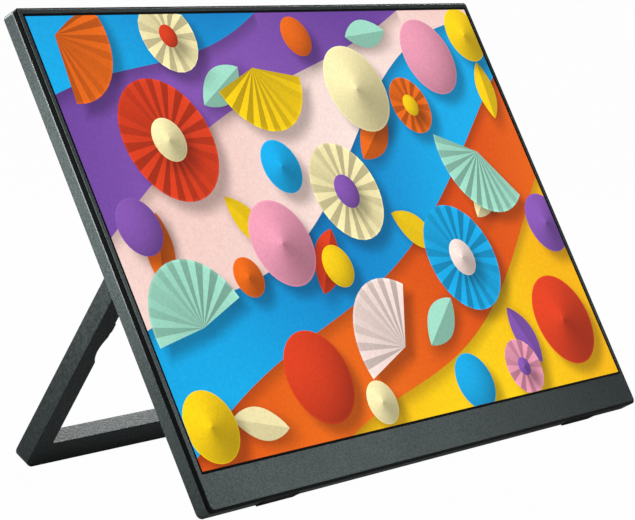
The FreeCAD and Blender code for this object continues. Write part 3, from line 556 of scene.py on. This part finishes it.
def wave_sheet(low, high, light_paper, deep_paper, phase):
    """Grid between two curves: t runs from the lower to the upper, and a slow sine mixes the two tones."""
    t = np.linspace(0.0, 1.0, rows)[:, None]
    low = np.clip(low, 0.0, picture_height)
    high = np.clip(high, 0.0, picture_height)
    v = low + (high - low) * t
    flat = np.stack([np.broadcast_to(u_line, v.shape), v], axis=-1)
    near_edge = soft_step(1.0 - (high - v) / edge_shadow_width)
    under_edge = 1.0 - edge_shadow * near_edge * (high < picture_height)
    tone = 0.5 + tone_swing * np.sin(u_line / tone_stretch + phase) + tone_rise * (t - 0.5)
    deeper = linear(deep_paper) - linear(light_paper)
    paper = linear(light_paper) + deeper * np.clip(tone, 0.0, 1.0)[..., None]
    light = under_edge * light_left(flat, shapes, leaves)
    return patch(flat, paper * light[..., None], wave_lift, 1)


for number, (low, high, papers) in enumerate(zip(curves[:-1], curves[1:], sheets)):
    patches.append(wave_sheet(low, high, *papers, tone_phase * number))
print(len(patches), "waves of", rows * columns, "points")

# %% [markdown]
# A leaf is folded along its middle line, so one half faces the light and the other turns away.

# %% Leaves
leaf_steps = 16
leaf_fullness = 0.8
leaf_light = 0.82
leaf_fold = 0.22


def folded_leaf(base, length, half_width, direction, paper):
    """Two halves: t runs along the middle line, s from it to the rim, and width goes with the sine of t."""
    t = np.linspace(1.0, 0.0, leaf_steps)[None, :, None]
    s = np.array([[-1.0, 0.0], [0.0, 1.0]])[:, None, :]
    along, over = heading(direction), heading(direction + 90.0)
    width = half_width * np.sin(math.pi * t) ** leaf_fullness
    flat = np.array(base) + (length * t)[..., None] * along + (width * s)[..., None] * over
    side = np.array([-1.0, 1.0])[:, None, None]
    light = (leaf_light + leaf_fold * side * (over @ light_from)) * light_left(flat, shapes)
    return patch(flat, linear(paper) * light[..., None], leaf_lift, 2)


for leaf in leaves:
    patches.append(folded_leaf(*leaf))
print(len(leaves), "leaves folded")

# %% [markdown]
# A round shape is cut into sectors. In a rosette or a fan each sector tilts to one side or the other, so the
# light on it depends on how that tilt meets the light. A cone is lit by the direction of each sector, and a
# dome also by how far a point is from its middle. The cut edge of the paper catches a little more light.

# %% Rosettes, fans, cones and domes
ring_shares = np.array([0.0, 0.2, 0.4, 0.6, 0.75, 0.88, 0.96, 0.965, 1.0])
cut_edge = 0.962
cut_edge_light = 0.1
pleat_light, pleat_tilt, pleat_middle = 0.80, 0.26, 0.82
cone_light, cone_slope = 0.78, 0.32
dome_light, dome_slope, dome_fall = 0.88, 0.30, 0.16


def round_shape(kind, centre, radius, start, sweep, folds, paper, lift, shapes_above):
    """Sectors of a disc: angle in equal steps, radius from 0 to full, and tilt sets the light on each."""
    pleated = kind in ("rosette", "fan")
    sectors = folds * 2 if pleated else folds
    edges = np.radians(start + sweep * np.arange(sectors + 1) / sectors)
    angle = np.stack([edges[1:], edges[:-1]], axis=-1)[:, None, :]
    share = ring_shares[None, :, None]
    outward = np.stack([np.cos(angle), np.sin(angle)], axis=-1)
    flat = np.array(centre) + radius * share[..., None] * outward
    facing = np.broadcast_to(outward @ light_from, flat.shape[:-1])
    if pleated:
        middle = (edges[:-1] + edges[1:]) / 2
        side = np.where(np.arange(sectors) % 2 == 0, 1.0, -1.0)
        tilt = side * (np.cos(middle) * light_from[1] - np.sin(middle) * light_from[0])
        along_pleat = pleat_middle + (1.0 - pleat_middle) * share
        light = (pleat_light + pleat_tilt * tilt)[:, None, None] * along_pleat
    elif kind == "cone":
        light = cone_light + cone_slope * facing
    else:
        light = dome_light + dome_slope * share * facing - dome_fall * share ** 2
    light = light * light_left(flat, shapes_above) + cut_edge_light * (share > cut_edge)
    return patch(flat, linear(paper) * light[..., None], lift, sectors)


for shape in shapes:
    patches.append(round_shape(*shape, shape_lift, tops))
for shape in tops:
    patches.append(round_shape(*shape, top_lift, []))
print(len(shapes) + len(tops), "round shapes made")

# %% [markdown]
# All sheets become one mesh with a colour attribute. A screen gives its own light, so the shader sends the
# attribute out as emission over a dark, hazy surface.

# %% The picture on the glass
fibre_mm = 1.6
least_area = 1e-10


def lit_screen():
    """A surface that glows with the colour kept at each point, under the same haze as the glass."""
    tree, output, material = new_material("lit_panel_pixels")
    paper = add(tree, "ShaderNodeAttribute", attribute_name="paper", attribute_type="GEOMETRY")
    place = add(tree, "ShaderNodeTexCoord").outputs["Object"]
    fibre = add(tree, "ShaderNodeTexNoise", {"Vector": place, "Scale": per_metre(fibre_mm), "Detail": 3.0})
    tone = add(tree, "ShaderNodeMapRange", {"Value": fibre.outputs["Fac"], "From Min": 0.3, "From Max": 0.7,
                                            "To Min": 0.93, "To Max": 1.05})
    glow = add(tree, "ShaderNodeVectorMath", {0: paper.outputs["Color"], 1: tone.outputs["Result"]},
               operation="MULTIPLY")
    haze = add(tree, "ShaderNodeTexNoise", {"Vector": place, "Scale": per_metre(haze_mm), "Detail": 2.0})
    rough = add(tree, "ShaderNodeMapRange", {"Value": haze.outputs["Fac"], "To Min": 0.35, "To Max": 0.5})
    shader = add(tree, "ShaderNodeBsdfPrincipled", {"Base Color": paint(panel_black),
                                                    "Roughness": rough.outputs["Result"],
                                                    "Specular IOR Level": 0.03,
                                                    "Emission Color": glow.outputs["Vector"],
                                                    "Emission Strength": 1.0})
    tree.links.new(shader.outputs["BSDF"], output.inputs["Surface"])
    return material


def joined_mesh(name, parts):
    """One mesh from lists of points, colours and cells; cells that were pressed flat are left out."""
    starts = np.cumsum([0] + [len(points) for points, colours, cells in parts[:-1]])
    points = np.concatenate([part[0] for part in parts])
    colours = np.concatenate([part[1] for part in parts])
    cells = np.concatenate([part[2] + start for part, start in zip(parts, starts)])
    corner = points[cells]
    area = np.linalg.norm(np.cross(corner[:, 2] - corner[:, 0], corner[:, 3] - corner[:, 1]), axis=-1)
    cells = cells[area > least_area]
    mesh = bpy.data.meshes.new(name)
    mesh.from_pydata(points.tolist(), [], cells.tolist())
    attribute = mesh.color_attributes.new("paper", "FLOAT_COLOR", "POINT")
    attribute.data.foreach_set("color", np.column_stack([colours, np.ones(len(colours))]).ravel())
    return mesh


picture_mesh = joined_mesh("screen_picture", patches)
picture = bpy.data.objects.new("screen_picture", picture_mesh)
bpy.context.scene.collection.objects.link(picture)
picture_mesh.materials.append(lit_screen())
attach(picture, "display")
print("picture has", len(picture_mesh.polygons), "faces, facing", tuple(picture_mesh.polygons[0].normal))

# %% [markdown]
# ## Floor
# A sweep of paper lies under the monitor. Seen straight on or in a reflection it is plain white, and it still
# takes a soft shadow. Its own shading is kept low, so that it throws little light up under the monitor, and
# in a reflection it is darker where the monitor stands over it.

# %% Floor
white_share = 0.985
shade_reach = 0.1
paper_fibre_mm = 1.2


def white_sweep():
    """Matt paper shown as plain white to the camera and in reflections, with a share of its own shading."""
    tree, output, material = new_material("white_paper_sweep")
    place = add(tree, "ShaderNodeTexCoord").outputs["Object"]
    fibre = add(tree, "ShaderNodeTexNoise", {"Vector": place, "Scale": per_metre(paper_fibre_mm),
                                             "Detail": 2.0})
    colour = add(tree, "ShaderNodeMix", {"Factor": fibre.outputs["Fac"], "A": paint("#646464"),
                                         "B": paint("#6e6e6e")}, data_type="RGBA")
    matt = add(tree, "ShaderNodeBsdfDiffuse", {"Color": colour.outputs["Result"]})
    white = add(tree, "ShaderNodeEmission", {"Color": (1.0, 1.0, 1.0, 1.0), "Strength": 1.0})
    path = add(tree, "ShaderNodeLightPath")
    open_sky = add(tree, "ShaderNodeAmbientOcclusion", {"Distance": shade_reach}, samples=8)
    mirrored = add(tree, "ShaderNodeMath", {0: path.outputs["Is Glossy Ray"],
                                            1: path.outputs["Is Transmission Ray"]}, operation="MAXIMUM")
    shaded = add(tree, "ShaderNodeMath", {0: mirrored.outputs[0], 1: open_sky.outputs["AO"]},
                 operation="MULTIPLY")
    seen = add(tree, "ShaderNodeMath", {0: path.outputs["Is Camera Ray"], 1: shaded.outputs[0]},
               operation="MAXIMUM")
    share = add(tree, "ShaderNodeMath", {0: seen.outputs[0], 1: white_share}, operation="MULTIPLY")
    mix = add(tree, "ShaderNodeMixShader", {"Fac": share.outputs[0], 1: matt.outputs["BSDF"],
                                            2: white.outputs["Emission"]})
    tree.links.new(mix.outputs["Shader"], output.inputs["Surface"])
    return material


floor_half = 20.0
floor_corners = np.array([[-1, -1], [1, -1], [1, 1], [-1, 1]]) * floor_half
floor_mesh = bpy.data.meshes.new("floor")
floor_mesh.from_pydata([(x, y, cad_box[0][2]) for x, y in floor_corners], [], [(0, 1, 2, 3)])
floor = bpy.data.objects.new("floor", floor_mesh)
bpy.context.scene.collection.objects.link(floor)
floor_mesh.materials.append(white_sweep())
print("floor at", cad_box[0][2])

# %% [markdown]
# ## Light
# A box on the left grazes the side walls, and its grid keeps the light high on them. A small box in front
# lights the chin and fades to the right. A box behind on the right gives the cross bar its sheen, and one
# behind lights the back and the upper edges. The world adds a little light from all round.

# %% World and lamps
world_strength = 0.06


def studio_world():
    """Even soft light, and plain white wherever the camera or a reflection looks past the floor."""
    world = bpy.data.worlds.new("studio")
    world.use_nodes = True
    tree = world.node_tree
    tree.nodes.clear()
    path = add(tree, "ShaderNodeLightPath")
    mirrored = add(tree, "ShaderNodeMath", {0: path.outputs["Is Glossy Ray"],
                                            1: path.outputs["Is Transmission Ray"]}, operation="MAXIMUM")
    seen = add(tree, "ShaderNodeMath", {0: path.outputs["Is Camera Ray"], 1: mirrored.outputs[0]},
               operation="MAXIMUM")
    soft = add(tree, "ShaderNodeBackground", {"Color": (1.0, 1.0, 1.0, 1.0), "Strength": world_strength})
    white = add(tree, "ShaderNodeBackground", {"Color": (1.0, 1.0, 1.0, 1.0), "Strength": 1.0})
    mix = add(tree, "ShaderNodeMixShader", {"Fac": seen.outputs[0], 1: soft.outputs["Background"],
                                            2: white.outputs["Background"]})
    output = add(tree, "ShaderNodeOutputWorld")
    tree.links.new(mix.outputs["Shader"], output.inputs["Surface"])
    return world


def lamp(name, place, aim, size, power, spread=180.0):
    """Square soft box turned to an aim point; a grid in front can narrow its spread in degrees."""
    data = bpy.data.lights.new(name, "AREA")
    data.size = size
    data.energy = power
    data.spread = math.radians(spread)
    box = bpy.data.objects.new(name, data)
    box.location = place
    box.rotation_euler = (Vector(aim) - Vector(place)).to_track_quat("-Z", "Y").to_euler()
    bpy.context.scene.collection.objects.link(box)
    return box


bpy.context.scene.world = studio_world()
lamp("left_box", place=(-0.6, 0.1, 0.3), aim=(-0.177, 0.015, 0.14), size=0.16, power=0.2, spread=34.0)
lamp("front_box", place=(-0.17, -0.5, 0.15), aim=(-0.08, -0.065, 0.005), size=0.25, power=0.37, spread=68.0)
lamp("back_box", place=(0.75, 0.4, 0.7), aim=(-0.1, 0.06, 0.02), size=0.4, power=21.0)
lamp("rim_box", place=(-0.1, 0.9, 0.6), aim=(-0.1, 0.05, 0.2), size=0.3, power=12.0)
print("four soft boxes set")

# %% [markdown]
# ## Camera
# A long lens from the left front, a little above the chin, and turned by less than a degree about its axis.

# %% Camera
lens_mm = 142.5
camera_place = Vector((-0.97621, -0.73130, 0.23817))
camera_look = Vector((0.79173, 0.59883, -0.12069))
camera_roll = math.radians(0.833)

camera_data = bpy.data.cameras.new("studio_camera")
camera_data.lens = lens_mm
camera_data.sensor_width = 36.0
camera_data.sensor_fit = "HORIZONTAL"
camera_data.clip_start = 0.05
camera_data.clip_end = 100.0
camera = bpy.data.objects.new("studio_camera", camera_data)
facing = camera_look.to_track_quat("-Z", "Y").to_matrix() @ Matrix.Rotation(camera_roll, 3, "Z")
camera.matrix_world = Matrix.Translation(camera_place) @ facing.to_4x4()
bpy.context.scene.collection.objects.link(camera)
bpy.context.scene.camera = camera
bpy.context.scene.view_settings.view_transform = "Standard"
print("camera at", tuple(camera_place))
